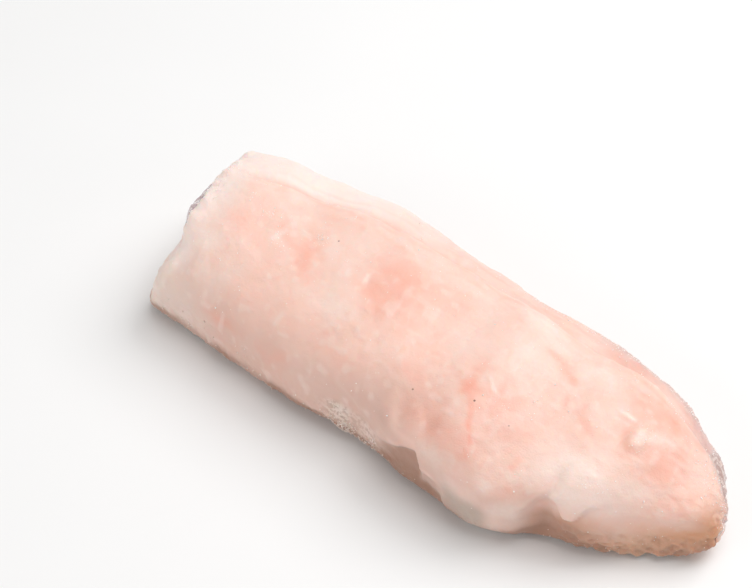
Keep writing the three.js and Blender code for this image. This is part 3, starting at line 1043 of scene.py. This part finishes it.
def grains(name, points, out, sizes, rng, lift=0.35):
    """Joined octahedra: six corners on the axes at random distances, turned at random, sunk so that
    about two thirds of each stands out."""
    count = len(points)
    reach = rng.uniform(0.6, 1.3, (count, 6, 1)) * sizes[:, None, None]
    corners = np.einsum("nij,nki->nkj", random_turns(count, rng), CORNERS[None] * reach)
    corners += (points + out * (lift * sizes)[:, None])[:, None]
    corners[..., 2] = np.maximum(corners[..., 2], 0.02)
    faces = (SIDES[None] + 6 * np.arange(count)[:, None, None]).reshape(-1, 3)
    return add_piece(name, corners.reshape(-1, 3), faces.tolist(), smooth_faces=False)


# %% Where the fine frost lies
FROSTED = [
    # clusters of grains: distance from the cut end, turn, half length, half width in degrees, strength
    (2.5, 77, 2.5, 5, 1.6),
    (7, 90, 3, 6, 0.6),
    (18, 86, 1.6, 4, 0.9),
    (10, 78, 3, 4, 0.5),
    (29, 91, 2, 2.6, 0.9),
    (37, 95, 1.8, 2.6, 1.0),
    (33, 88, 2, 2.5, 0.5),
    (40, 99, 1.8, 2.5, 0.5),
    (148, 62, 3, 5, 0.5),
    (163, 58, 3, 4, 0.6),
    (168, 72, 3, 4, 0.4),
    (160.5, 95, 2.4, 4.5, 0.8),
    (156, 134, 4, 4, 1.0),
    (122.5, 109, 2.5, 3, 0.5),
    (124, 103, 3, 3, 0.4),
    (133, 98, 4, 4, 0.3),
    (176, 76, 3, 7, 0.7),
]
patchy = smooth(lattice_noise(plain, 5, 31), -0.1, 0.7) * smooth(lattice_noise(plain, 14, 32), -0.5, 0.4)
clumps = smooth(lattice_noise(plain, 2.2, 33), 0.15, 0.5)
upper = 0.006 + patchy * (0.1 + clumps) * (0.1 + 0.25 * between(X, 6, 70, 10) * between(DEG, 55, 118, 12))
upper += 0.5 * hills(FROSTED, X + 0.5 * drift, DEG + 0.5 * drift_deg)
rim = 0.5 * cut_rim * between(DEG, 62, 92, 6)
skyline = 0.8 * (1 - smooth(FAR, 14, 46)) * smooth(FAR, -35, 20) * smooth(X, 90, 140)
skyline = skyline + 0.6 * smooth(X, 174, 184) * (1 - smooth(FAR, 70, 105)) * far_wall
dusted = upper * (1 - 0.9 * shaded_low_side) * (1 - near_foot) + rim + skyline
dusted *= above_floor * (1 - 0.6 * on_cut) * (1 - np.clip(amber, 0, 1))

# %% Fine frost and crumbs of crust
DUST_GRAINS, CRUMBS = 5500, 600
rng = np.random.default_rng(42)
dust_points, dust_out = scattered(dusted, DUST_GRAINS, rng)
dust = grains("frost_dust", dust_points, dust_out, rng.gamma(4.0, 0.028, DUST_GRAINS) + 0.03, rng)
crusted = 0.3 * smooth(DEG, 181, 187) * near_foot * crust ** 2 + 0.006 * fringe * (0.3 + clumps)
crumb_points, crumb_out = scattered(crusted * above_floor, CRUMBS, rng)
crumb_sizes = rng.gamma(5.0, 0.034, CRUMBS) + 0.05
crumb_sizes *= 1 - 0.3 * smooth(crumb_points[:, 0] + CENTRE[0], 98, 120)
crumbs_piece = grains("frost_crumbs", crumb_points, crumb_out, crumb_sizes, rng)
for piece in (dust, crumbs_piece):
    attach(piece, "root")
print("frost grains:", len(dust_points), "and", len(crumb_points))


# %% Frost finish
def frost_finish(name, light, dark):
    """White with darker patches, and a faint painted glow: a weak emission that stands in for the light that
    crystals pass on.
    """
    finish = Finish(name)
    shader = finish.node("ShaderNodeBsdfPrincipled", {}, {
        "Base Color": finish.mixed(finish.noise(1.5, 2).rise(0.35, 0.65), dark, light),
        "Roughness": 0.35, "IOR": 1.31, "Emission Color": (1, 0.96, 0.94, 1), "Emission Strength": 0.04})
    return finish.surface(shader)


dust.data.materials.append(frost_finish("frost_white", (0.96, 0.91, 0.89, 1), (0.86, 0.76, 0.73, 1)))
crumbs_piece.data.materials.append(frost_finish("frost_crust", (0.88, 0.77, 0.70, 1), (0.66, 0.51, 0.43, 1)))


# %% [markdown]
# ## Ice glaze
#
# Water that ran off before it froze left clear ice: a lens over the rim of the cut, a ragged lip
# along the foot of the near side and a film on the tip. Each is a closed shell laid on a part of
# the flesh's own grid. Where its height falls below nothing it sinks into the flesh, and that cuts
# its outline ragged without any cutting.

# %% A shell over part of the flesh
def grid_part(x_low, x_high, turn_low, turn_high):
    """Row numbers between two distances, and column numbers between two turns, as a grid."""
    rows = np.flatnonzero((row_x >= x_low) & (row_x <= x_high))
    first, last = np.searchsorted(turns, np.radians([turn_low, turn_high]))
    if turn_low < 0:
        first = np.searchsorted(turns, np.radians(turn_low + 360)) - COLUMNS
    return np.ix_(rows, np.arange(first, last) % COLUMNS)

SUNK = 0.4             # how far a shell reaches into the flesh, in mm


def shell(name, part, height, direction=None):
    """The part pushed out by height and the same part pushed into the flesh, joined at the border."""
    base = flesh_points[part]
    way = normals[part] if direction is None else direction
    outer = base + way * height[..., None]
    outer[..., 2] = np.maximum(outer[..., 2], 0)
    inner = base - normals[part] * SUNK
    inner[..., 2] = np.maximum(inner[..., 2], 0.05)
    top = np.arange(height.size).reshape(height.shape)
    low = top + height.size
    above = np.stack([top[:-1, :-1], top[:-1, 1:], top[1:, 1:], top[1:, :-1]], axis=-1).reshape(-1, 4)
    below = np.stack([low[:-1, :-1], low[1:, :-1], low[1:, 1:], low[:-1, 1:]], axis=-1).reshape(-1, 4)
    border = np.concatenate([top[0, :-1], top[:-1, -1], top[-1, :0:-1], top[:0:-1, 0]])
    after = np.roll(border, -1)
    wall = np.stack([after, border, border + height.size, after + height.size], axis=-1)
    vertices = np.concatenate([outer.reshape(-1, 3), inner.reshape(-1, 3)])
    return add_piece(name, vertices, np.concatenate([above, below, wall]).tolist())


# %% Lens on the cut's rim
part = grid_part(0.2, 5.0, 74, 126)
ends = between(DEG[part] + drift_deg[part], 86, 118, 7)
lens_height = ends * bell(X[part] - 1.2, 1.2) * smooth(row_scale[part[0]], 0.66, 0.84)
lens_height += 0.35 * lattice_noise(plain[part], 1.6, 41) - 0.35
lens = shell("ice_lens", part, lens_height)


# %% Ragged lips along the foot
def foot_lip(name, x_low, x_high, reach, seed):
    """Pushes the lowest 3 mm of the wall straight outwards by a ragged amount."""
    part = grid_part(x_low, x_high, 182, 232)
    place, away = plain[part], normals[part] * (1, 1, 0)
    away /= np.maximum(np.linalg.norm(away, axis=-1, keepdims=True), 1e-9)
    ends = between(X[part], x_low + 4, x_high - 4, 4)
    gaps = smooth(lattice_noise(place, 7, seed), -0.5, 0.1)
    torn = 0.7 + 0.6 * lattice_noise(place, 2.5, seed + 1) + 0.4 * lattice_noise(place, 1.1, seed + 2)
    height = reach * torn * gaps * ends * (1 - smooth(place[..., 2], 0.8, 3.0)) - 0.3
    return shell(name, part, height, away)


lips = [foot_lip("ice_lip_cut", 1, 62, 2.6, 51), foot_lip("ice_lip_tip", 120, 184, 1.3, 61)]

# %% Film on the tip
part = grid_part(171, 186.2, -25, 62)
film_height = 0.35 + 0.3 * lattice_noise(plain[part], 2.6, 71) + 0.25 * lattice_noise(plain[part], 0.9, 72)
film_height += 0.9 * bell(X[part] - 178, 3.5) * bell(DEG[part] - 42, 14)
along, across = (X + 0.9 * drift)[part], (FAR + 1.3 * drift_deg)[part]
film_height *= smooth(along, 173.5, 180) * between(across, -14, 53, 11)
film_height *= smooth(lattice_noise(plain[part], 4.5, 73), -0.7, 0.1)
film = shell("ice_film", part, film_height - 0.15)


# %% Ice finish
def ice_finish(name, clear, white, size_mm):
    """Clear ice with white flecks of a given size, under a hard glossy coat."""
    finish = Finish(name)
    specks = finish.noise(size_mm, 3, 0.6)
    bumps = finish.node("ShaderNodeBump", {}, {"Strength": 0.4, "Distance": 0.2 * MM, "Height": specks})
    shader = finish.node("ShaderNodeBsdfPrincipled", {}, {
        "Base Color": finish.mixed(specks.rise(0.45, 0.62), clear, white), "Roughness": 0.2, "IOR": 1.31,
        "Normal": bumps, "Transmission Weight": 0.1, "Coat Weight": 0.5, "Coat Roughness": 0.05})
    return finish.surface(shader)


lens.data.materials.append(ice_finish("ice_purple", (0.54, 0.40, 0.41, 1), (0.95, 0.87, 0.85, 1), 0.9))
lip_material = ice_finish("ice_grey", (0.42, 0.34, 0.30, 1), (0.80, 0.72, 0.66, 1), 1.4)
film.data.materials.append(ice_finish("ice_pale", (0.50, 0.345, 0.315, 1), (0.76, 0.62, 0.57, 1), 1.0))
for piece in lips:
    piece.data.materials.append(lip_material)
for piece in (lens, film, *lips):
    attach(piece, "root")
    print(piece.name, len(piece.data.vertices), "vertices")


# %% [markdown]
# ## Floor, light and camera
#
# The floor is plain and nearly white, so that the pale flesh stands out by its shadows alone. A big
# soft light hangs behind and above the loin: the far roll is the brightest place and the near side
# falls into a gentle shade. The sky fills the rest.

# %% Floor
def add_floor(half=1.6):
    """A wide plain square in metres. It is part of the stage, not of the model."""
    corners = np.array([(-half, -half, 0), (half, -half, 0), (half, half, 0), (-half, half, 0)]) / MM
    floor = add_piece("floor", corners, [(0, 1, 2, 3)])
    finish = Finish("floor_white")
    tone = finish.mixed(finish.noise(60, 2), (0.86, 0.86, 0.86, 1), (0.84, 0.84, 0.84, 1))
    shader = finish.node("ShaderNodeBsdfPrincipled", {}, {"Base Color": tone, "Roughness": 0.7})
    floor.data.materials.append(finish.surface(shader))


add_floor()


# %% Lights
def add_light(name, position, size, watts):
    """A square area light, in metres, that looks at the loin's middle."""
    data = bpy.data.lights.new(name, "AREA")
    data.shape, data.size, data.energy = "SQUARE", size, watts
    light = bpy.data.objects.new(name, data)
    light.location = position
    light.rotation_euler = (-Vector(position)).to_track_quat("-Z", "Y").to_euler()
    bpy.context.collection.objects.link(light)


add_light("window", (0.35, 0.65, 0.85), 0.7, 7.0)
add_light("overhead", (0.2, 0.1, 1.2), 0.8, 5.2)
add_light("fill", (-0.45, -0.95, 0.35), 1.0, 3.6)

# %% Sky and tones
world = bpy.data.worlds.new("studio")
world.use_nodes = True
world.node_tree.nodes["Background"].inputs["Color"].default_value = (1, 0.985, 0.97, 1)
world.node_tree.nodes["Background"].inputs["Strength"].default_value = 0.42
bpy.context.scene.world = world
bpy.context.scene.view_settings.view_transform = "Standard"


# %% Camera
AZIMUTH, ELEVATION, DISTANCE, LENS = np.radians(34), np.radians(46), 550.0, 85.0
AIM = np.array([56.7, 17.8, 0.0])


def add_camera():
    """Looks down on the loin from the near side, turned towards the tip."""
    back = np.array([
        np.sin(AZIMUTH) * np.cos(ELEVATION), -np.cos(AZIMUTH) * np.cos(ELEVATION), np.sin(ELEVATION)])
    camera = bpy.data.objects.new("camera", bpy.data.cameras.new("camera"))
    camera.data.lens = LENS
    camera.data.sensor_width = 36
    camera.location = (AIM - CENTRE + DISTANCE * back) * MM
    camera.rotation_euler = Vector(-back).to_track_quat("-Z", "Y").to_euler()
    bpy.context.collection.objects.link(camera)
    bpy.context.scene.camera = camera


add_camera()
